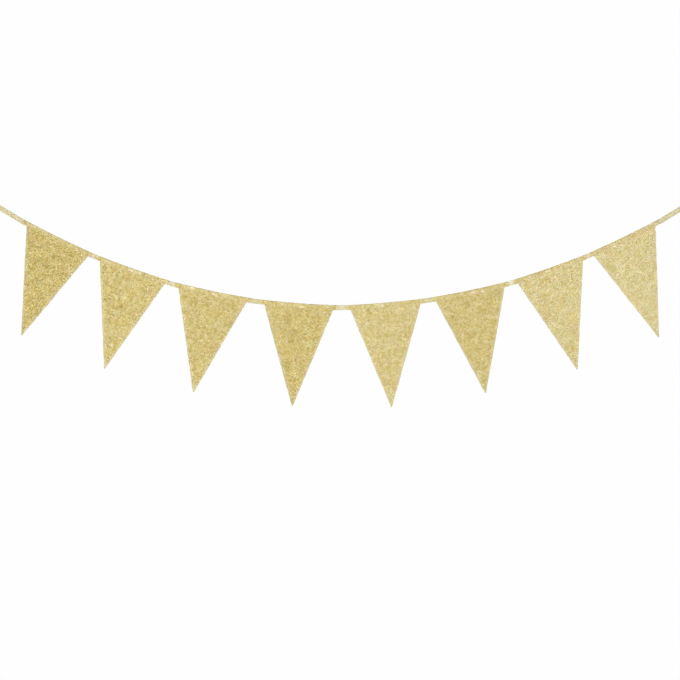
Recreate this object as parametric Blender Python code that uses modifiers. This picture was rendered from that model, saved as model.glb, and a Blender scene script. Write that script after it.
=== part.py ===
# Bunting of eight long cloth pennants held in a folded tape that hangs from its two ends.
# Metres, +Z up. X runs along the bunting, its front faces -Y, and the origin is the middle
# of the tape's fold, which is the top edge.
import math
from collections import namedtuple

import bmesh
import bpy
import numpy as np
from mathutils import Vector

MM = 0.001

CLOTH = 1.0 * MM            # thickness of every sheet
CLEARANCE = 0.3 * MM        # from a pennant to the leaf of the tape beside it

TAPE_DROP = 9.3 * MM        # from the fold down to the leaves' edges
TAPE_HALF_LENGTH = 720 * MM  # along the fold, from the middle to a cut end
LEAF_GAP = 0.4 * MM         # between the leaves where they hold nothing
OPEN_MARGIN = 1.5 * MM      # past a pennant's side, where the leaves begin to close
OPEN_EASE = 6.0 * MM        # length over which they close
FOLD_STEPS = 4              # faces round half a turn of the fold
TAPE_STATIONS = 5           # rows of points across the tape over one pennant

TAIL_SLOPE = 0.606          # rise of each tail for the length it runs along
TAIL_BEND = 13.0 * MM       # past the last pennants, until the tape runs straight
BOW = 0.083                 # slope that the tape gains over one pennant, drawn into a bow by its weight
ROUTE_STEP = 0.5 * MM

TIP_WIDTH = 1.6 * MM        # the cut point is blunt by this much
HELD_FROM = 1.6 * MM        # the pennant's top edge, below the fold
FREE_FROM = TAPE_DROP + 1.5 * MM  # below this the cloth hangs free of the tape
PENNANT_COLUMNS = 6
PENNANT_ROWS = 14

# Millimetres and degrees. middle: along the fold from the tape's middle; slope: of the fold there,
# up to the right; top: width at the fold; length: from the fold to where the two sides would meet;
# sway: how far the point swings off square to the tape, towards plumb; out: the point's drift to
# the back (or, below 0, the front); cup: how far the two sides stand behind the middle; twist: how
# far the right side stands behind the left. The pennants weigh about the same, so each one turns
# the tape by much the same step of slope.
Pennant = namedtuple("Pennant", "name middle slope top length sway out cup twist")
PENNANTS = [
    Pennant("pennant_1", -559.2, -0.488, 135.5, 201.0, 5.4, -5.0, -2.5, 2.0),
    Pennant("pennant_2", -405.1, -0.354, 136.3, 200.6, 3.3, 3.0, 2.0, -1.5),
    Pennant("pennant_3", -247.0, -0.209, 138.1, 198.7, 0.8, -3.5, -2.0, -2.5),
    Pennant("pennant_4", -81.5, -0.074, 137.2, 199.0, 0.4, 2.5, -3.0, 1.5),
    Pennant("pennant_5", 83.1, 0.086, 140.1, 201.4, -1.5, -4.0, 2.5, 2.5),
    Pennant("pennant_6", 245.3, 0.209, 139.1, 200.2, -2.8, 4.0, -2.0, -2.0),
    Pennant("pennant_7", 403.2, 0.352, 137.4, 202.5, -4.0, -3.0, -2.5, 1.5),
    Pennant("pennant_8", 556.2, 0.483, 135.5, 203.6, -6.1, 5.0, 2.0, -2.5),
]

GOLD = (0.650, 0.533, 0.258)


def smooth(t):
    t = min(max(t, 0.0), 1.0)
    return t * t * (3.0 - 2.0 * t)


def sides(pennant):
    half = pennant.top * MM / 2
    return pennant.middle * MM - half, pennant.middle * MM + half


def tape_slopes():
    """Places along the fold and the fold's slope there, which changes evenly from each to the next."""
    places = [-TAPE_HALF_LENGTH, sides(PENNANTS[0])[0] - TAIL_BEND]
    slopes = [-TAIL_SLOPE, -TAIL_SLOPE]
    for pennant in PENNANTS:
        places.extend(sides(pennant))
        slopes.extend([pennant.slope - BOW / 2, pennant.slope + BOW / 2])
    places.extend([sides(PENNANTS[-1])[1] + TAIL_BEND, TAPE_HALF_LENGTH])
    slopes.extend([TAIL_SLOPE, TAIL_SLOPE])
    return places, slopes


class Route:
    """The fold's line in the XZ plane, by distance along it from the tape's middle."""

    def __init__(self):
        count = round(2 * TAPE_HALF_LENGTH / ROUTE_STEP) + 1
        self.along = np.linspace(-TAPE_HALF_LENGTH, TAPE_HALF_LENGTH, count)
        self.angle = np.arctan(np.interp(self.along, *tape_slopes()))
        halfway = (self.angle[1:] + self.angle[:-1]) / 2
        step = self.along[1] - self.along[0]
        self.x = np.concatenate(([0.0], np.cumsum(np.cos(halfway)) * step))
        self.z = np.concatenate(([0.0], np.cumsum(np.sin(halfway)) * step))
        self.x -= np.interp(0.0, self.along, self.x)
        self.z -= np.interp(0.0, self.along, self.z)

    def at(self, place):
        x, z, angle = (float(np.interp(place, self.along, row)) for row in (self.x, self.z, self.angle))
        return Vector((x, 0.0, z)), angle


def leaf_offset(place):
    """From the tape's middle plane to the middle of a leaf: wider where a pennant is held."""
    held = 0.0
    for pennant in PENNANTS:
        low, high = sides(pennant)
        past = max(low - place, place - high, 0.0)
        held = max(held, smooth(1.0 - (past - OPEN_MARGIN) / OPEN_EASE))
    shut = (LEAF_GAP + CLOTH) / 2
    wide = CLOTH + CLEARANCE
    return shut + (wide - shut) * held


def tape_places():
    """Where the tape has a row of points across it."""
    places = [-TAPE_HALF_LENGTH, TAPE_HALF_LENGTH]
    eased = OPEN_MARGIN + OPEN_EASE
    for pennant in PENNANTS:
        low, high = sides(pennant)
        places.extend(np.linspace(low, high, TAPE_STATIONS).tolist())
        for past in (OPEN_MARGIN, OPEN_MARGIN + OPEN_EASE / 2, eased):
            places.extend([low - past, high + past])
    for left, right in zip(PENNANTS, PENNANTS[1:]):
        places.append((sides(left)[1] + sides(right)[0]) / 2)
    places.extend([sides(PENNANTS[0])[0] - TAIL_BEND, sides(PENNANTS[-1])[1] + TAIL_BEND])
    return sorted(places)


def tape_section(offset):
    """Points across the strip as (depth back, drop below the fold), from the back edge to the front."""
    centre = CLOTH / 2 + offset
    points = [(offset, TAPE_DROP)]
    for step in range(FOLD_STEPS + 1):
        turn = math.pi * step / FOLD_STEPS
        points.append((offset * math.cos(turn), centre - offset * math.sin(turn)))
    points.append((-offset, TAPE_DROP))
    return points


def fabric():
    material = bpy.data.materials.new("gold_glitter_cloth")
    material.use_nodes = True
    shader = material.node_tree.nodes["Principled BSDF"]
    shader.inputs["Base Color"].default_value = (*GOLD, 1.0)
    shader.inputs["Roughness"].default_value = 0.45
    shader.inputs["Metallic"].default_value = 0.6
    material.diffuse_color = (*GOLD, 1.0)
    return material


def sheet(name, columns, rows, place, material, group):
    """A grid whose point (column, row) goes to place(column, row), thickened into cloth."""
    mesh = bpy.data.meshes.new(name)
    grid = bmesh.new()
    bmesh.ops.create_grid(grid, x_segments=columns, y_segments=rows, size=1.0)
    for vert in grid.verts:
        column = round((vert.co.x + 1) / 2 * columns)
        row = round((1 - vert.co.y) / 2 * rows)
        vert.co = place(column, row)
    grid.to_mesh(mesh)
    grid.free()
    piece = bpy.data.objects.new(name, mesh)
    group.objects.link(piece)
    mesh.materials.append(material)
    thicken = piece.modifiers.new("cloth", "SOLIDIFY")
    thicken.thickness = CLOTH
    thicken.offset = 0.0
    thicken.use_even_offset = True
    return piece


def make_tape(route, material, group):
    places = tape_places()
    sections = [tape_section(leaf_offset(place)) for place in places]

    def place(column, row):
        point, angle = route.at(places[column])
        depth, drop = sections[column][row]
        return point + Vector((math.sin(angle) * drop, depth, -math.cos(angle) * drop))

    return sheet("tape", len(places) - 1, len(sections[0]) - 1, place, material, group)


def make_pennant(pennant, route, material, group):
    top = pennant.top * MM
    length = pennant.length * MM
    blunt = length * (1 - TIP_WIDTH / top)
    lean = math.tan(math.radians(pennant.sway))
    # One row of points ends the stretch held in the tape, and the rest are even down to the point.
    drops = [HELD_FROM]
    drops.extend(np.linspace(FREE_FROM, blunt, PENNANT_ROWS).tolist())

    def place(column, row):
        drop = drops[row]
        width = top * (1 - drop / length)
        across = (column / PENNANT_COLUMNS - 0.5) * width
        fall = max(drop - FREE_FROM, 0.0) / (blunt - FREE_FROM)
        aside = across / (top / 2)
        depth = MM * (
            pennant.out * fall**1.5
            + pennant.cup * aside**2 * smooth(3 * fall)
            + pennant.twist * aside * smooth(1.5 * fall)
        )
        return Vector((across + lean * drop, depth, -drop))

    piece = sheet(pennant.name, PENNANT_COLUMNS, PENNANT_ROWS, place, material, group)
    piece.location, angle = route.at(pennant.middle * MM)
    piece.rotation_euler = (0.0, -angle, 0.0)
    return piece


def main():
    for old in list(bpy.data.objects):
        bpy.data.objects.remove(old, do_unlink=True)
    group = bpy.data.collections.new("bunting")
    bpy.context.scene.collection.children.link(group)
    gold = fabric()
    route = Route()
    make_tape(route, gold, group)
    for pennant in PENNANTS:
        make_pennant(pennant, route, gold, group)


main()
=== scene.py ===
import math

import bpy
import numpy as np
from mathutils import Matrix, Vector


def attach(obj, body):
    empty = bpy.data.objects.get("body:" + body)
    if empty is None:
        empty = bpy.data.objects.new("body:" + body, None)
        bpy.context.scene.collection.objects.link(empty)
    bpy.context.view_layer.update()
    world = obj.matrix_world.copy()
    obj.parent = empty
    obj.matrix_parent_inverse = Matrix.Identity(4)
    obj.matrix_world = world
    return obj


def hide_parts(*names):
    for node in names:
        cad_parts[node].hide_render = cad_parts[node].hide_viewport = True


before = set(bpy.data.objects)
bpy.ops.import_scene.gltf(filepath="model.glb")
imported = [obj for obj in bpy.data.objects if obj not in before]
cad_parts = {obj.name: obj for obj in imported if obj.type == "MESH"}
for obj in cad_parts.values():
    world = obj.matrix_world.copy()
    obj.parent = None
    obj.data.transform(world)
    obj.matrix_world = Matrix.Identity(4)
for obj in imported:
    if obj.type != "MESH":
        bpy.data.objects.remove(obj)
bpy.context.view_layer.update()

mm = 0.001

# The bunting hangs as its solids do. Lengths are in millimetres: places along the tape are
# measured on its fold from the middle, and a drop is measured down from the fold, square to it.
hang = {
    "halfLength": 720,     # from the middle of the tape to a cut end
    "tapeDrop": 9.3,       # depth of the folded tape
    "tailSlope": 0.606,    # slope of the two tails
    "tailBend": 13,        # past the outer pennants, until the tape runs straight
    "bow": 0.083,          # slope that the tape gains over one pennant
    "heldFrom": 1.6,       # top edge of a pennant, inside the fold
    "freeFrom": 10.8,      # below this a pennant is clear of the tape
    "tipWidth": 1.6,       # blunt width of the cut point
    "step": 0.5,           # between the places where the fold's line is worked out
}

# Each pennant: its middle on the tape and the tape's slope there, its width at the fold, length to
# where the sides would meet, sway in degrees, drift of the point, stand-off of the sides and twist,
# all as in the solids. warm is about 0 for the palest glitter and 1 for the deepest; it is partly
# each pennant's own tone and partly painted shade, deeper on the left and paler on the right. seed
# sets its own scatter.
pennantColumns = "middle slope top length sway out cup twist warm seed".split()
pennantRows = [
    (-559.2, -0.488, 135.5, 201.0, 5.4, -5.0, -2.5, 2.0, 0.92, 11),
    (-405.1, -0.354, 136.3, 200.6, 3.3, 3.0, 2.0, -1.5, 0.76, 12),
    (-247.0, -0.209, 138.1, 198.7, 0.8, -3.5, -2.0, -2.5, 0.74, 13),
    (-81.5, -0.074, 137.2, 199.0, 0.4, 2.5, -3.0, 1.5, 0.84, 14),
    (83.1, 0.086, 140.1, 201.4, -1.5, -4.0, 2.5, 2.5, 0.40, 15),
    (245.3, 0.209, 139.1, 200.2, -2.8, 4.0, -2.0, -2.0, 0.66, 16),
    (403.2, 0.352, 137.4, 202.5, -4.0, -3.0, -2.5, 1.5, 0.12, 17),
    (556.2, 0.483, 135.5, 203.6, -6.1, 5.0, 2.0, -2.5, -0.04, 18),
]
pennants = [dict(zip(pennantColumns, row)) for row in pennantRows]


def smooth(share):    # eases from 0 to 1
    share = np.clip(share, 0, 1)
    return share * share * (3 - 2 * share)


def unit(vectors):
    return vectors / np.linalg.norm(vectors, axis=-1, keepdims=True)


def ripples(x, y, seed, waves):
    # the sum of a few waves in set directions: waves gives the height of each, how many there are,
    # the shortest and the longest, and what is added to the sheet's seed
    height, count, shortest, longest, own = waves
    rng = np.random.default_rng(seed + own)
    headings = rng.uniform(0, math.pi, count)
    turns = 2 * math.pi / rng.uniform(shortest, longest, count)
    phases = rng.uniform(0, 2 * math.pi, count)
    total = 0
    for heading, turn, phase in zip(headings, turns, phases):
        total = total + np.sin(turn * (x * math.cos(heading) + y * math.sin(heading)) + phase)
    return height * total


def pennantSides(pennant):    # places on the fold
    return pennant["middle"] - pennant["top"] / 2, pennant["middle"] + pennant["top"] / 2


def foldLine():    # the fold's x, height and angle at even steps along the tape
    half, step, tail = (hang[name] for name in ("halfLength", "step", "tailSlope"))
    places = [-half, pennantSides(pennants[0])[0] - hang["tailBend"]]
    slopes = [-tail, -tail]
    for pennant in pennants:
        places += pennantSides(pennant)
        slopes += [pennant["slope"] - hang["bow"] / 2, pennant["slope"] + hang["bow"] / 2]
    places += [pennantSides(pennants[-1])[1] + hang["tailBend"], half]
    slopes += [tail, tail]
    along = np.linspace(-half, half, round(2 * half / step) + 1)
    angle = np.arctan(np.interp(along, places, slopes))
    between = (angle[1:] + angle[:-1]) / 2
    x = np.concatenate(([0], np.cumsum(np.cos(between)) * step))
    z = np.concatenate(([0], np.cumsum(np.sin(between)) * step))
    return along, x - np.interp(0, along, x), z - np.interp(0, along, z), angle


foldTable = foldLine()


def foldAt(place):
    return [np.interp(place, foldTable[0], row) for row in foldTable[1:]]


class Sock:    # a socket that adds Math nodes when it is used in an expression
    def __init__(self, finish, socket):
        self.finish = finish
        self.socket = socket

    def math(self, operation, *values):
        return self.finish.node("ShaderNodeMath", dict(enumerate(values)), operation=operation)["Value"]

    def sine(self):
        return self.math("SINE", self)

    def size(self):
        return self.math("ABSOLUTE", self)

    def __add__(self, other):
        return self.math("ADD", self, other)

    def __sub__(self, other):
        return self.math("SUBTRACT", self, other)

    def __rsub__(self, other):
        return self.math("SUBTRACT", other, self)

    def __mul__(self, other):
        return self.math("MULTIPLY", self, other)

    __radd__ = __add__
    __rmul__ = __mul__


class Finish:    # a material, or the world, with its nodes
    def __init__(self, data):
        data.use_nodes = True
        self.data = data
        self.tree = data.node_tree

    def node(self, kind, values=None, stops=None, **settings):    # settings first, then the sockets
        new = self.tree.nodes.new(kind)
        for name, value in settings.items():
            setattr(new, name, value)
        if stops:
            ends = new.color_ramp.elements
            while len(ends) < len(stops):
                ends.new(0.5)
            for end, (place, colour) in zip(ends, stops):
                end.position = place
                end.color = colour
        for name, value in (values or {}).items():
            self.feed(new, name, value)
        return {socket.name: Sock(self, socket) for socket in new.outputs if socket.enabled}

    def feed(self, node, name, value):    # a value or a link into one socket, by name or number
        if isinstance(name, int):
            target = node.inputs[name]
        else:
            target = next(socket for socket in node.inputs if socket.enabled and socket.name == name)
        if isinstance(value, Sock):
            self.tree.links.new(value.socket, target)
        else:
            target.default_value = value

    def shade(self, values):    # fills the Principled shader's sockets
        for name, value in values.items():
            self.feed(self.tree.nodes["Principled BSDF"], name, value)

    def vectors(self, operation, *values):
        return self.node("ShaderNodeVectorMath", dict(enumerate(values)), operation=operation)["Vector"]

    def blend(self, factor, first, second, mode="MIX"):
        values = {"Factor": factor, "A": first, "B": second}
        return self.node("ShaderNodeMix", values, data_type="RGBA", blend_type=mode)["Result"]

    def noise(self, place, scale, detail):
        values = {"Vector": place, "Scale": scale, "Detail": detail}
        return self.node("ShaderNodeTexNoise", values)["Fac"]

    def fade(self, value, reach):    # 1 where the value is 0, easing to 0 at the reach
        values = {"Value": value, "From Max": reach, "To Min": 1.0, "To Max": 0.0}
        return self.node("ShaderNodeMapRange", values, interpolation_type="SMOOTHSTEP")["Result"]

    def chance(self, colour):    # one random number from a cell's random colour
        return self.node("ShaderNodeSeparateColor", {"Color": colour})["Red"]

    def lean(self, colour, most):    # a small tilt to any side from a cell's random colour
        aside = self.vectors("SUBTRACT", colour, (0.5, 0.5, 0.5))
        return self.vectors("MULTIPLY", aside, (most, most, most))

    def mark(self, name):    # a share that is kept with the mesh's points
        return self.node("ShaderNodeAttribute", attribute_name=name)["Fac"]


def newFinish(name):
    return Finish(bpy.data.materials.new(name))


glitterLook = {
    "tones": [             # the glitter from deep to pale, and the tone at which each comes
        (0.05, (0.44, 0.32, 0.08, 1)),
        (0.42, (0.71, 0.575, 0.23, 1)),
        (0.95, (0.93, 0.86, 0.58, 1)),
    ],
    "tone": -0.015,        # where the tone starts, before the next four
    "dustTone": 0.34,      # how much paler a single grain may be
    "clumpTone": 0.60,     # and a patch
    "driftTone": 0.34,     # and the slow changes
    "warmTone": 0.30,      # how much deeper the glitter is where warm is 1
    "dust": 0.75,          # mm across one grain of the fine glitter
    "clump": 3.4,          # mm across the patches where grains lie alike
    "drift": 14,           # mm across the slow changes of tone and hue
    "apart": 0.2,          # m between the parts of the pattern that two sheets show
    "glue": (0.50, 0.39, 0.14, 1),    # between the grains
    "glueReach": 0.10,     # from the edge of a grain, as a share of its size
    "glueMost": 0.6,
    "olive": (0.955, 1.0, 0.95, 1),   # the hue changes slowly between these two
    "rose": (0.99, 0.945, 0.955, 1),
    "hueFrom": 0.32,       # level of the slow pattern that is all olive
    "hueGain": 2.8,        # how quickly it turns to rose above that
    "hueSlice": 3.7,       # keeps the pattern of the hue unlike that of the tone
    "worn": (0.66, 0.63, 0.47, 1),    # where the glitter is thin
    "wornReach": 6.5,      # mm in from a pennant's cut side
    "wornMost": 0.55,
    "paler": 0.55,         # how worn the tape looks between pennants
    "paintedGlint": (1.0, 0.96, 0.74, 1),    # painted highlight: pale spots where the tape's glitter catches the light
    "paintedGlintMost": 0.9,
    "dustTilt": 0.40,
    "clumpTilt": 0.18,
    "metal": 0.85,
    "rough": 0.34,
    "clumpRough": 0.14,    # how much rougher a patch may be
    "glueRough": 0.25,     # and the glue
}


def besideCut(finish, own, pennant):    # 1 along a pennant's two cut sides, 0 well inside them
    axes = finish.node("ShaderNodeSeparateXYZ", {"Vector": own})
    drop = axes["Z"] * (-1 / mm)
    across = axes["X"] * (1 / mm) - drop * math.tan(math.radians(pennant["sway"]))
    inside = (1 - drop * (1 / pennant["length"])) * (pennant["top"] / 2) - across.size()
    return finish.fade(inside, glitterLook["wornReach"])


def glitterCloth(name, warm, seed, pennant=None):    # without a pennant it is the tape's
    look = glitterLook
    finish = newFinish(name)
    own = finish.node("ShaderNodeTexCoord")["Object"]
    place = finish.vectors("ADD", own, (look["apart"] * seed, 0.0, 0.0))    # no two sheets alike
    fine = {"Vector": place, "Scale": 1 / (look["dust"] * mm)}
    grain = finish.node("ShaderNodeTexVoronoi", fine)["Color"]
    rim = finish.node("ShaderNodeTexVoronoi", fine, feature="DISTANCE_TO_EDGE")["Distance"]
    coarse = {"Vector": place, "Scale": 1 / (look["clump"] * mm)}
    patch = finish.node("ShaderNodeTexVoronoi", coarse)["Color"]
    slow = 1 / (look["drift"] * mm)
    drift = finish.noise(place, slow, detail=2.0)
    turned = {"Vector": place, "Scale": slow, "Detail": 1.0, "W": look["hueSlice"]}
    hue = finish.node("ShaderNodeTexNoise", turned, noise_dimensions="4D")["Fac"]
    gap = finish.fade(rim, look["glueReach"])
    clump = finish.chance(patch)

    tone = finish.chance(grain) * look["dustTone"] + clump * look["clumpTone"]
    tone = tone + drift * look["driftTone"] + look["tone"] - warm * look["warmTone"]
    colour = finish.node("ShaderNodeValToRGB", {"Fac": tone}, stops=look["tones"])["Color"]
    colour = finish.blend(gap * look["glueMost"], colour, look["glue"])
    cast = finish.blend((hue - look["hueFrom"]) * look["hueGain"], look["olive"], look["rose"])
    colour = finish.blend(1.0, colour, cast, "MULTIPLY")
    if pennant:
        worn = besideCut(finish, own, pennant) * look["wornMost"]
        colour = finish.blend(worn, colour, look["worn"])
    else:
        colour = finish.blend(finish.mark("bare") * look["paler"], colour, look["worn"])
        # painted highlights, where the tape's glitter catches the light
        colour = finish.blend(finish.mark("paintedGlint") * look["paintedGlintMost"], colour, look["paintedGlint"])

    normal = finish.node("ShaderNodeNewGeometry")["Normal"]
    normal = finish.vectors("ADD", normal, finish.lean(grain, look["dustTilt"]))
    normal = finish.vectors("ADD", normal, finish.lean(patch, look["clumpTilt"]))
    finish.shade({
        "Base Color": colour,
        "Roughness": look["rough"] + clump * look["clumpRough"] + gap * look["glueRough"],
        "Normal": finish.vectors("NORMALIZE", normal),
        "Metallic": look["metal"],
    })
    return finish.data


weaveLook = {
    "yarn": 0.62,          # mm from one yarn to the next
    "pale": (0.84, 0.75, 0.54, 1),
    "shade": (0.60, 0.51, 0.32, 1),
    "tone": 0.2,           # between the two, before the next four
    "yarnTone": 0.4,       # how much paler the top of a yarn is
    "slubTone": 0.3,       # and a thick place in it
    "streakTone": 0.6,     # how plain the streaks are
    "stainTone": 0.7,      # and the stains
    "slubs": 260.0,        # thick places in one metre
    "slubRise": 0.5,       # their height, as a share of a yarn's
    "streak": (1.5, 28),   # mm, width and length of the streaks that uneven yarns leave
    "stain": 17,           # mm across the slow patches where the glue shows through
    "relief": 0.12,        # mm, height of a yarn
    "bump": 0.8,
    "rough": 0.85,
}


def wovenBacking(name):
    look = weaveLook
    finish = newFinish(name)
    place = finish.node("ShaderNodeTexCoord")["Object"]
    axes = finish.node("ShaderNodeSeparateXYZ", {"Vector": place})
    turn = math.pi / (look["yarn"] * mm)
    over = (axes["X"] * turn).sine() * (axes["Z"] * turn).sine()
    height = over * 0.5 + 0.5    # from 0 to 1

    def streaks(*stretch):
        return finish.noise(finish.vectors("MULTIPLY", place, stretch), scale=1.0, detail=1.0) - 0.5

    slub = finish.noise(place, look["slubs"], detail=3.0)
    stain = finish.noise(place, 1 / (look["stain"] * mm), detail=3.0)
    fine, long = (1 / (size * mm) for size in look["streak"])
    uneven = (streaks(fine, 1.0, long) + streaks(long, 1.0, fine)) * look["streakTone"]
    uneven = uneven + (stain - 0.5) * look["stainTone"]
    tone = height * look["yarnTone"] + slub * look["slubTone"] + uneven + look["tone"]
    rise = height + slub * look["slubRise"]
    relief = {"Height": rise, "Strength": look["bump"], "Distance": look["relief"] * mm}
    finish.shade({
        "Base Color": finish.blend(tone, look["shade"], look["pale"]),
        "Roughness": look["rough"],
        "Normal": finish.node("ShaderNodeBump", relief)["Normal"],
    })
    return finish.data


flakeLook = {    # colour and roughness of the larger flakes, from the deepest tone to the palest
    "flakeDeep": ((0.575, 0.443, 0.137, 1), 0.34),
    "flakeOlive": ((0.68, 0.565, 0.19, 1), 0.34),
    "flakeGold": ((0.77, 0.62, 0.24, 1), 0.32),
    "flakeBright": ((0.84, 0.71, 0.35, 1), 0.32),
    "flakePale": ((0.90, 0.82, 0.54, 1), 0.34),
    # in slow patches these two take the place of gold and bright
    "flakeRose": ((0.83, 0.64, 0.32, 1), 0.32),
    "flakeLime": ((0.75, 0.68, 0.26, 1), 0.32),
}


def flakeFinishes():
    made = []
    for name, (colour, rough) in flakeLook.items():
        finish = newFinish(name)
        finish.shade({"Base Color": colour, "Roughness": rough, "Metallic": 1.0})
        made.append(finish.data)
    return made


threadLook = {
    "light": (0.86, 0.76, 0.50, 1),
    "dark": (0.62, 0.50, 0.26, 1),
    "fibres": 2200.0,      # in one metre
    "rough": 0.55,
    "sheen": 0.3,
}


def threadFinish():
    look = threadLook
    finish = newFinish("threadGold")
    place = finish.node("ShaderNodeTexCoord")["Object"]
    fibre = finish.noise(place, look["fibres"], detail=2.0)
    colour = finish.blend(fibre, look["dark"], look["light"])
    finish.shade({"Base Color": colour, "Roughness": look["rough"], "Sheen Weight": look["sheen"]})
    return finish.data


def newMesh(name, points, faces, smoothed=True):    # points in millimetres
    mesh = bpy.data.meshes.new(name)
    mesh.from_pydata((points.reshape(-1, 3) * mm).tolist(), [], faces)
    if smoothed:
        mesh.polygons.foreach_set("use_smooth", [True] * len(faces))
    return mesh


def gridMesh(name, points):    # points[column, row], with faces turned to the right of down
    columns, rows = points.shape[:2]
    number = np.arange(columns * rows).reshape(columns, rows)
    corners = [number[:-1, :-1], number[:-1, 1:], number[1:, 1:], number[1:, :-1]]
    return newMesh(name, points, np.stack(corners, -1).reshape(-1, 4).tolist())


def addPiece(mesh):
    piece = bpy.data.objects.new(mesh.name, mesh)
    bpy.context.scene.collection.objects.link(piece)
    return piece


def thicken(piece, thickness, finishes, crisp=50):
    # the finishes are of the face, the back and the cut edge, which stays crisp because its faces
    # turn by more than that many degrees
    for finish in finishes:
        piece.data.materials.append(finish)
    solid = piece.modifiers.new("cloth", "SOLIDIFY")
    solid.thickness = thickness * mm
    solid.offset = 0.0
    solid.material_offset = 1
    solid.material_offset_rim = 2
    graph = bpy.context.evaluated_depsgraph_get()
    done = bpy.data.meshes.new_from_object(piece.evaluated_get(graph))
    done.set_sharp_from_angle(angle=math.radians(crisp))
    piece.modifiers.clear()
    piece.data = done


flakes = {
    "pitch": 1.44,         # mm between the larger flakes before they are shaken out of line
    "shake": 0.50,         # mm
    "corners": 6,
    "radius": (0.40, 0.68),    # mm
    "bigShare": 0.016,     # share of the flakes that are bigger and catch the eye
    "bigger": 1.6,         # times as wide
    "bigPale": 0.48,       # share of those that are the palest, and the rest are the deepest
    "overhang": 0.5,       # mm that a flake may stand past a cut edge
    "root": 0.34,          # mm from its face to the point that is sunk in the glue
    "lift": (0.02, 0.10),  # mm that its face stands off the cloth
    "tilt": 0.21,          # spread of its lean, as a slope
    "uneven": (0.125, 6, 16, 60, 100),    # waves in which that spread changes from place to place
    "tiltRange": (0.2, 2),    # between these shares of it
    "evenOut": 0.55,       # how much paler the rougher places are, to stay as bright
    # shares of the five tones, deepest first, where warm is 0 and where it is 1
    "palest": (0.03, 0.11, 0.26, 0.28, 0.32),
    "warmest": (0.38, 0.29, 0.22, 0.09, 0.02),
    "drift": (0.0625, 8, 7, 34, 200),     # waves in which neighbours share one tone
    "cast": (0.25, 8, 6, 26, 300),        # and one hue
    "castSpread": 0.5,     # of the hues of single flakes
    "castFrom": 0.5,       # past this a flake is rose, or lime
    "wornReach": 7.0,      # mm in from a cut side, where the flakes are paler
    "wornMost": 0.55,
}


def scatter(width, height, seed):    # a shaken triangular grid over a rectangle centred on x = 0
    rng = np.random.default_rng(seed)
    pitch = flakes["pitch"]
    across = np.arange(-width / 2, width / 2, pitch)
    down = np.arange(0, height, pitch * math.sqrt(0.75))
    x, y = np.meshgrid(across, down)
    x = x + (np.arange(len(down)) % 2)[:, None] * pitch / 2
    shake = rng.uniform(-flakes["shake"], flakes["shake"], (2, *x.shape))
    return (x + shake[0]).ravel(), (y + shake[1]).ravel(), rng


def flakeMesh(name, points, normals, room, warm, seed, rng):
    # each flake is a flat plate, closed below by a point that is sunk in the glue; room is its
    # distance from the cloth's edge
    count = len(points)
    corners = flakes["corners"]
    x, z = points[:, 0], points[:, 2]
    rough = ripples(x, z, seed, flakes["uneven"])
    tilt = flakes["tilt"] * np.clip(1 + rough, *flakes["tiltRange"])
    warm = warm - flakes["evenOut"] * rough
    face = unit(normals + rng.normal(0, 1, (count, 3)) * tilt[:, None])
    side = unit(np.cross(face, rng.normal(size=(count, 3))))
    other = np.cross(face, side)
    big = rng.random(count) < flakes["bigShare"]
    radius = rng.uniform(*flakes["radius"], count) * np.where(big, flakes["bigger"], 1)
    radius = np.minimum(radius, room + flakes["overhang"])[:, None]
    centre = points + normals * rng.uniform(*flakes["lift"], count)[:, None]
    turns = np.arange(corners) * 2 * math.pi / corners
    rim = [centre + radius * (math.cos(turn) * side + math.sin(turn) * other) for turn in turns]
    plate = np.stack(rim + [centre - face * flakes["root"]], 1)
    first = (corners + 1) * np.arange(count)[:, None]
    faces = (first + np.arange(corners)).tolist()
    for corner in range(corners):
        faces += (first + [(corner + 1) % corners, corner, corners]).tolist()
    mesh = newMesh(name, plate, faces, smoothed=False)

    palest, warmest = np.array(flakes["palest"]), np.array(flakes["warmest"])
    steps = np.cumsum(palest + (warmest - palest) * warm[:, None], 1)[:, :-1]
    drift = ripples(x, z, seed, flakes["drift"])
    tones = (steps < np.clip(rng.random(count) + drift, 0, 1)[:, None]).sum(1)
    hue = ripples(x, z, seed, flakes["cast"]) + rng.normal(0, flakes["castSpread"], count)
    number = {finish: place for place, finish in enumerate(flakeLook)}
    golden = (tones == number["flakeGold"]) | (tones == number["flakeBright"])
    tones[golden & (hue > flakes["castFrom"])] = number["flakeRose"]
    tones[golden & (hue < -flakes["castFrom"])] = number["flakeLime"]
    pale = rng.random(count) < flakes["bigPale"]
    tones[big] = np.where(pale, number["flakePale"], number["flakeDeep"])[big]
    mesh.polygons.foreach_set("material_index", np.tile(tones, corners + 1).astype(np.int32))
    for finish in flakeTones:
        mesh.materials.append(finish)
    return mesh


pennantCloth = {
    "thickness": 0.55,
    "columns": 46,
    "rows": 66,
    "driftPower": 1.5,     # the point's drift grows with this power of the way down
    "cupBy": 3,            # the sides stand off in full a third of the way down,
    "twistBy": 1.5,        # the twist is full after two thirds
    "rippleBy": 5,         # and the ripples after a fifth
    "ripple": (0.14, 5, 28, 70, 0),       # waves of its soft unevenness
    "crinkle": (0.02, 9, 9, 17, 20),      # and finer ones
    "leftCut": (0.125, 4, 12, 40, 60),    # waves in which a cut strays from a straight line
    "rightCut": (0.125, 4, 12, 40, 40),
    "cutPower": 5,         # these grow with this power of the way out to the cut
    "sideMargin": 0.1,     # from a cut side to the middle of a flake
    "tipMargin": 0.4,      # and from the cut point
    "tapeLap": 0.3,        # that flakes may start above the tape's edge
}


def bluntDrop(pennant):
    return pennant["length"] * (1 - hang["tipWidth"] / pennant["top"])


def halfWidth(pennant, drop):
    return pennant["top"] / 2 * (1 - drop / pennant["length"])


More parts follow.
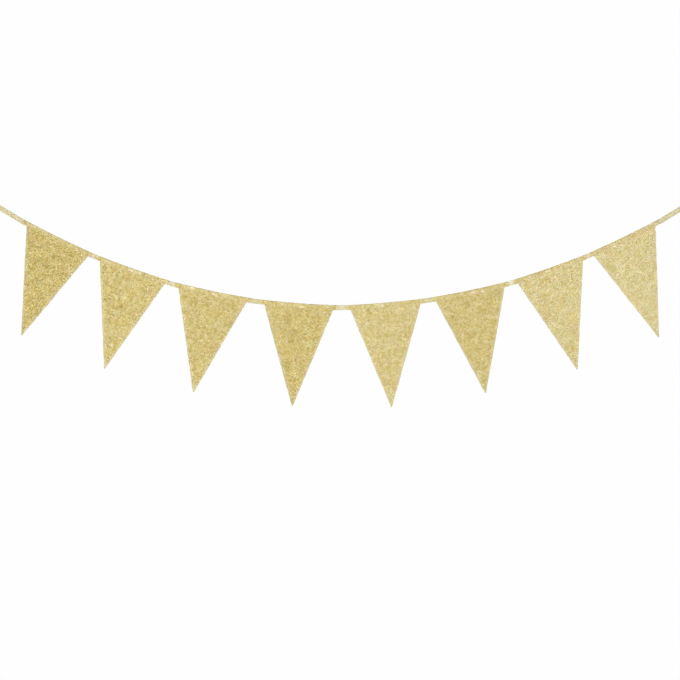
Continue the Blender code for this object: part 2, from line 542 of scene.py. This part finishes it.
def pennantDepth(pennant, across, drop):
    fall = np.clip((drop - hang["freeFrom"]) / (bluntDrop(pennant) - hang["freeFrom"]), 0, 1)
    aside = across / (pennant["top"] / 2)
    ripple = ripples(across, drop, pennant["seed"], pennantCloth["ripple"])
    crinkle = ripples(across, drop, pennant["seed"], pennantCloth["crinkle"])
    return (
        pennant["out"] * fall ** pennantCloth["driftPower"]
        + pennant["cup"] * aside**2 * smooth(pennantCloth["cupBy"] * fall)
        + pennant["twist"] * aside * smooth(pennantCloth["twistBy"] * fall)
        + (ripple + crinkle) * smooth(pennantCloth["rippleBy"] * fall)
    )


def pennantPoints(pennant, across, drop):    # in the pennant's own frame, below the fold
    lean = math.tan(math.radians(pennant["sway"]))
    return np.stack([across + lean * drop, pennantDepth(pennant, across, drop), -drop], -1)


def pennantNormals(pennant, across, drop, reach=0.3):    # towards the front
    right = pennantPoints(pennant, across + reach, drop) - pennantPoints(pennant, across - reach, drop)
    down = pennantPoints(pennant, across, drop + reach) - pennantPoints(pennant, across, drop - reach)
    return unit(np.cross(down, right))


def pennantGrid(pennant):    # the points of its cloth
    columns = np.linspace(-1, 1, pennantCloth["columns"] + 1)
    rows = np.linspace(hang["heldFrom"], bluntDrop(pennant), pennantCloth["rows"] + 1)
    share, drop = np.meshgrid(columns, rows, indexing="ij")
    left = ripples(0, drop, pennant["seed"], pennantCloth["leftCut"])
    right = ripples(0, drop, pennant["seed"], pennantCloth["rightCut"])
    stray = np.abs(share) ** pennantCloth["cutPower"] * np.where(share > 0, right, left)
    return pennantPoints(pennant, share * halfWidth(pennant, drop) + stray, drop)


def pennantFlakes(name, pennant):
    x, y, rng = scatter(pennant["top"], pennant["length"], pennant["seed"])
    inside = halfWidth(pennant, y) - np.abs(x)
    tapeEdge = hang["tapeDrop"] - hang["bow"] * x**2 / (2 * pennant["top"])
    keep = inside > pennantCloth["sideMargin"]
    keep &= y > tapeEdge - pennantCloth["tapeLap"]
    keep &= y < bluntDrop(pennant) - pennantCloth["tipMargin"]
    x, y, inside = x[keep], y[keep], inside[keep]
    normals = pennantNormals(pennant, x, y)
    face = pennantPoints(pennant, x, y) + normals * pennantCloth["thickness"] / 2
    worn = smooth(1 - inside / flakes["wornReach"]) * flakes["wornMost"]
    return flakeMesh(name, face, normals, inside, pennant["warm"] - worn, pennant["seed"], rng)


def hangPennant(piece, pennant):
    x, z, angle = foldAt(pennant["middle"])
    piece.location = (x * mm, 0, z * mm)
    piece.rotation_euler = (0, -angle, 0)


def makePennant(number, pennant):
    node = f"pennant_{number}"
    cloth = addPiece(gridMesh(node + "_cloth", pennantGrid(pennant)))
    finish = glitterCloth(f"glitter_{number}", pennant["warm"], pennant["seed"], pennant)
    thicken(cloth, pennantCloth["thickness"], [finish, backing, cutEdge])
    glitter = addPiece(pennantFlakes(node + "_glitter", pennant))
    for piece in (cloth, glitter):
        hangPennant(piece, pennant)
        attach(piece, "root")
    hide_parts(node)
    area = pennant["top"] * pennant["length"] / 2 * mm * mm
    pennant["top"] * mm
    pennant["length"] * mm


tape = {
    "thickness": 0.55,
    "step": 4.0,           # between rows of points along it
    "leafFrom": 0.12,      # each leaf, as shares of the way from the fold's top to its edge
    "leafPoints": 8,
    "foldTo": 0.09,        # and the fold, to both sides of its top
    "foldPoints": 7,
    "closed": 0.30,        # from the middle plane to the middle of a leaf, with nothing between
    "open": 0.62,          # and where a pennant is held
    "margin": 1.5,         # past a pennant's side, where the leaves begin to close
    "ease": 6.0,           # length over which they close
    "seamDrop": 7.3,       # of the sewing, below the fold
    "pinch": 0.05,         # how far the sewing draws each leaf in
    "pinchWidth": 0.9,     # and how far from the seam that reaches
    "wander": (0.11, 4, 18, 60, 61),    # waves of its leaves' edges
    "seed": 10,
    "scatterSeed": 91,
    "clothWarm": 0.25,     # tone of its fine glitter
    "warm": -0.4,          # tone of its flakes between pennants
    "heldWarm": -0.05,     # how much deeper they are than a pennant's where they cover one
    "edgeLap": 0.1,        # that the middle of a flake may lie past a leaf's edge
    "foldMargin": 0.25,    # from the fold's top to the middle of a flake
    "endMargin": 0.5,      # and from a cut end
    "paintedGlintSize": (6.0, 2.0),    # half the length and half the height of a painted highlight
    "paintedGlintPale": 3.0,      # how much paler the flakes are painted in a highlight
    # each painted highlight's place along the tape and below the fold, on the front
    "paintedGlints": [(-408, 4.8), (-288, 3.4), (-244, 5.6), (-76, 6.6), (76, 5.0), (251, 5.2), (269, 8.0),
               (400, 4.8), (535, 8.0)],
    # how strong the painted highlight is over the left tail, each gap in turn and the right tail, where
    # a full one is 1
    "gaps": [0.0, 0.3, 0.25, 0.0, 0.3, 0.0, 0.6, 0.5, 0.0],
}


def heldBy(pennant, place):    # 1 along the stretch that holds the pennant, 0 away from it
    low, high = pennantSides(pennant)
    past = np.maximum(np.maximum(low - place, place - high), 0)
    return smooth(1 - (past - tape["margin"]) / tape["ease"])


def heldAt(place):    # 1 along the stretches that hold pennants, 0 between them
    return sum(heldBy(pennant, place) for pennant in pennants)


def tapePoints(place, strip):
    # strip is the way round the cloth from the fold's top, below 0 on the back and above on the front
    offset = tape["closed"] + (tape["open"] - tape["closed"]) * heldAt(place)
    turn = np.clip(strip / offset, -math.pi / 2, math.pi / 2)
    leaf = np.maximum(np.abs(strip) - offset * math.pi / 2, 0)
    drop = tape["thickness"] / 2 + offset * (1 - np.cos(turn)) + leaf
    fromSeam = (drop - tape["seamDrop"]) / tape["pinchWidth"]
    draw = tape["pinch"] * np.exp(-(fromSeam**2)) * (leaf > 0)
    depth = -np.sin(turn) * offset + np.sign(strip) * draw
    x, z, angle = foldAt(place)
    return np.stack([x + np.sin(angle) * drop, depth, z - np.cos(angle) * drop], -1)


def tapeNormals(place, strip, reach=0.05):    # out of the cloth's glittered face
    along = tapePoints(place + reach, strip) - tapePoints(place - reach, strip)
    down = tapePoints(place, strip + reach) - tapePoints(place, strip - reach)
    return unit(np.cross(down, along))


def stripAt(drop):    # way round the cloth from the fold's top to a drop on a leaf
    middle = (tape["closed"] + tape["open"]) / 2
    return drop - tape["thickness"] / 2 + middle * (math.pi / 2 - 1)


def stripEdge(place):    # half the strip's width, which strays a little
    return stripAt(hang["tapeDrop"]) + ripples(place, 0, tape["seed"], tape["wander"])


def gapMiddles():    # of the left tail, the gaps and the right tail
    sides = [-hang["halfLength"]]
    for pennant in pennants:
        sides += pennantSides(pennant)
    sides.append(hang["halfLength"])
    return [(low + high) / 2 for low, high in zip(sides[::2], sides[1::2])]


def paintedGlintAt(place, strip):    # 1 in the middle of a painted highlight, 0 where the glitter is as usual
    long, high = tape["paintedGlintSize"]
    shine = (1 - heldAt(place)) * np.interp(place, gapMiddles(), tape["gaps"])
    for along, down in tape["paintedGlints"]:
        shine = shine + smooth(1 - ((place - along) / long) ** 2 - ((strip - down) / high) ** 2)
    return shine


def tapeGrid():    # the place and the way round of every point of its cloth
    half = hang["halfLength"]
    leaf = np.linspace(tape["leafFrom"], 1, tape["leafPoints"])
    fold = np.linspace(-tape["foldTo"], tape["foldTo"], tape["foldPoints"])
    places = np.linspace(-half, half, round(2 * half / tape["step"]) + 1)
    place, share = np.meshgrid(places, np.concatenate((-leaf[::-1], fold, leaf)), indexing="ij")
    return place, share * stripEdge(place)


def tapeFlakes(name, width):
    half = hang["halfLength"]
    strip, place, rng = scatter(width, 2 * half, tape["scatterSeed"])
    place = place - half
    fromFold = np.abs(strip)
    keep = (fromFold > tape["foldMargin"]) & (fromFold < stripEdge(place) + tape["edgeLap"])
    keep &= np.abs(fromFold - stripAt(tape["seamDrop"])) > sewing["clear"]
    keep &= np.abs(place) < half - tape["endMargin"]
    place, strip = place[keep], strip[keep]
    normals = tapeNormals(place, strip)
    face = tapePoints(place, strip) + normals * tape["thickness"] / 2
    warm = tape["warm"]
    # over a pennant the flakes take its warm, painted shade included
    for pennant in pennants:
        warm = warm + heldBy(pennant, place) * (pennant["warm"] + tape["heldWarm"] - tape["warm"])
    # the flakes are painted paler in the painted highlights
    warm = warm - tape["paintedGlintPale"] * paintedGlintAt(place, strip)
    return flakeMesh(name, face, normals, stripEdge(place) - np.abs(strip), warm, tape["seed"], rng)


sewing = {
    "stitch": 3.0,         # mm that shows
    "gap": 0.7,            # mm to the next stitch
    "thread": 0.17,        # mm, radius
    "sides": 6,
    "clear": 0.42,         # mm each side of the seam with no large flakes
    "endMargin": 4,        # mm from the tape's cut ends
    # the way along a stitch as shares of it, and how many mm the thread stands off the cloth
    "path": [(0, -0.30), (0.08, 0.02), (0.3, 0.15), (0.7, 0.15), (0.92, 0.02), (1, -0.30)],
}


def stitchPoints(start, front):    # points[ring, side] of one short thread
    # it rises out of the cloth, lies along it and dips back in
    shares, rises = np.array(sewing["path"]).T
    place = start + shares * sewing["stitch"]
    strip = np.full(len(place), front * stripAt(tape["seamDrop"]))
    normals = tapeNormals(place, strip)
    middle = tapePoints(place, strip) + normals * (tape["thickness"] / 2 + rises)[:, None]
    run = unit(np.gradient(middle, axis=0))
    out = unit(np.cross(run, np.cross(normals, run)))
    cross = np.cross(run, out)
    turns = np.arange(sewing["sides"]) * 2 * math.pi / sewing["sides"]
    around = [math.cos(turn) * out + math.sin(turn) * cross for turn in turns]
    return middle[:, None] + sewing["thread"] * np.stack(around, 1)


def sewingMesh(name):
    half = hang["halfLength"] - sewing["endMargin"]
    pitch = sewing["stitch"] + sewing["gap"]
    starts = np.arange(-half, half - pitch, pitch)
    points = np.stack([stitchPoints(start, front) for front in (-1, 1) for start in starts])
    faces = []
    for number in np.arange(points[..., 0].size).reshape(points.shape[:3]):    # number[ring, side]
        beside = np.roll(number, -1, 1)
        corners = [number[:-1], beside[:-1], beside[1:], number[1:]]
        faces += np.stack(corners, -1).reshape(-1, 4).tolist()
        faces += [number[0, ::-1].tolist(), number[-1].tolist()]    # the two ends
    mesh = newMesh(name, points, faces)
    mesh.materials.append(threadFinish())
    return mesh


def makeTape():
    place, strip = tapeGrid()
    cloth = addPiece(gridMesh("tape_cloth", tapePoints(place, strip)))
    # bare marks the stretches between pennants, and the other share marks the painted highlights
    for name, values in (("bare", 1 - heldAt(place)), ("paintedGlint", paintedGlintAt(place, strip))):
        cloth.data.attributes.new(name, "FLOAT", "POINT").data.foreach_set("value", values.ravel())
    finish = glitterCloth("glitter_tape", tape["clothWarm"], tape["seed"])
    thicken(cloth, tape["thickness"], [finish, backing, cutEdge])
    width = 2 * float(stripEdge(0))
    glitter = addPiece(tapeFlakes("tape_glitter", width))
    stitches = addPiece(sewingMesh("tape_stitching"))
    for piece in (cloth, glitter, stitches):
        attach(piece, "root")
    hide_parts("tape")


studio = {
    "pixel": 1.905,        # mm of cloth that one pixel of the photograph shows
    "side": 680,           # pixels
    "foldColumn": 341.82,  # where the middle of the tape's fold lies in the photograph
    "foldRow": 305.22,
    "lens": 100,           # mm
    "sensor": 36,
    "white": 0.991,        # of the backdrop, as the camera sees it
    "around": 0.24,        # light from all round
    "ahead": 0.24,         # how much more of it comes from in front and behind
    "above": 0.30,         # and from above and below
    # each lamp's name, place, width and height in metres, and power in watts
    "lamps": [
        ("key", (0.5, -2.9, 0.4), (2.4, 1.6), 15),
        ("fill", (-1.4, -2.8, -0.4), (1.6, 1.6), 12),
        ("behind", (0.6, 2.6, 1.6), (2.0, 1.2), 30),
        ("leftSide", (-3.1, -1.8, 0.2), (1.6, 1.6), 13),
        ("rightSide", (3.1, -1.8, 0.2), (1.6, 1.6), 13),
    ],
    "lampsAim": (0, 0, -0.05),
    "floor": (0.86, 0.86, 0.85, 1),
    "floorRough": 0.9,
    "floorGlow": 0.28,     # keeps it pale in the other views
    "floorDrop": 1.3,      # m below the fold
    "floorRadius": 3.0,    # m
    "floorSides": 96,
}


def makeSky():
    world = bpy.data.worlds.new("studio")
    bpy.context.scene.world = world
    finish = Finish(world)
    outwards = finish.node("ShaderNodeTexCoord")["Generated"]
    aim = finish.node("ShaderNodeSeparateXYZ", {"Vector": outwards})
    seen = finish.node("ShaderNodeLightPath")["Is Camera Ray"]
    ahead = aim["Y"] * aim["Y"] * studio["ahead"]
    above = aim["Z"] * aim["Z"] * studio["above"]
    glow = studio["around"] + ahead + above
    background = finish.tree.nodes["Background"]
    finish.feed(background, "Color", (1, 1, 1, 1))
    finish.feed(background, "Strength", seen * studio["white"] + (1 - seen) * glow)


def addLamp(name, place, size, power):
    lamp = bpy.data.lights.new(name, "AREA")
    lamp.shape = "RECTANGLE"
    lamp.size, lamp.size_y = size
    lamp.energy = power
    light = bpy.data.objects.new(name, lamp)
    bpy.context.scene.collection.objects.link(light)
    light.location = place
    away = Vector(place) - Vector(studio["lampsAim"])
    light.rotation_euler = away.to_track_quat("Z", "Y").to_euler()
    light.visible_camera = False


def makeFloor():
    bpy.ops.mesh.primitive_circle_add(vertices=studio["floorSides"], radius=studio["floorRadius"],
                                      fill_type="NGON", location=(0, 0, -studio["floorDrop"]))
    floor = bpy.context.object
    floor.name = "studio_floor"
    paper = newFinish("paleFloor")
    paper.shade({
        "Base Color": studio["floor"],
        "Roughness": studio["floorRough"],
        "Emission Color": (1, 1, 1, 1),
        "Emission Strength": studio["floorGlow"],
    })
    floor.data.materials.append(paper.data)


def makeCamera():    # square on, and as far off as the width of the photograph's view needs
    pixel = studio["pixel"] * mm
    centre = studio["side"] / 2
    camera = bpy.data.objects.new("camera", bpy.data.cameras.new("camera"))
    bpy.context.scene.collection.objects.link(camera)
    bpy.context.scene.camera = camera
    camera.data.lens = studio["lens"]
    camera.data.sensor_width = studio["sensor"]
    camera.location = (
        (centre - studio["foldColumn"]) * pixel,
        -studio["side"] * pixel * studio["lens"] / studio["sensor"],
        (studio["foldRow"] - centre) * pixel,
    )
    camera.rotation_euler = (math.pi / 2, 0, 0)


bpy.context.scene.view_settings.view_transform = "Standard"
makeSky()
for lampRow in studio["lamps"]:
    addLamp(*lampRow)
makeFloor()
makeCamera()
print("studio ready")

backing = wovenBacking("wovenBacking")
cutEdge = wovenBacking("cutEdge")
flakeTones = flakeFinishes()
print("backing and flake finishes mixed")

makeTape()
print("tape folded and sewn")

for number, pennant in enumerate(pennants, 1):
    makePennant(number, pennant)
print("pennants hung")
